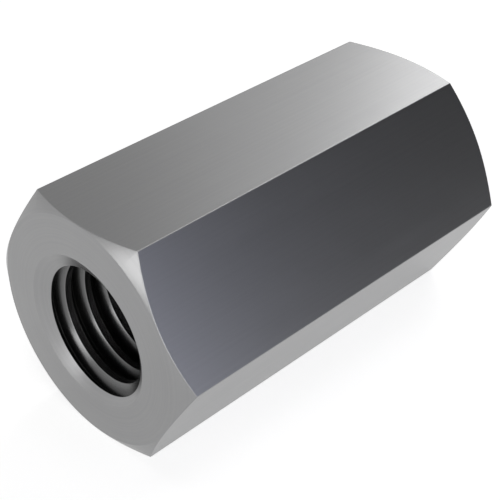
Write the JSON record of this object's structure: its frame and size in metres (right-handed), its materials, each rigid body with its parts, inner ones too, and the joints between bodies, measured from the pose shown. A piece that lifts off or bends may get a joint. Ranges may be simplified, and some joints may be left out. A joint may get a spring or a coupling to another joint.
{
  "type": "coupling nut",
  "caption": "Long hexagon nut with chamfered ends and a threaded hole right through, which joins threaded rods end to end.",
  "frame": {"origin": "on the thread's axis, halfway along the nut", "axes": "+X along the thread's axis, +Z square to the top flat; the corners of the hexagon point along +Y and -Y"},
  "size_m": [0.015, 0.0092, 0.008],
  "materials": {
    "plated_steel": "bright zinc plate over smooth machined steel"
  },
  "bodies": {
    "root": {"coupling_nut": "plated_steel"}
  },
  "joints": []
}
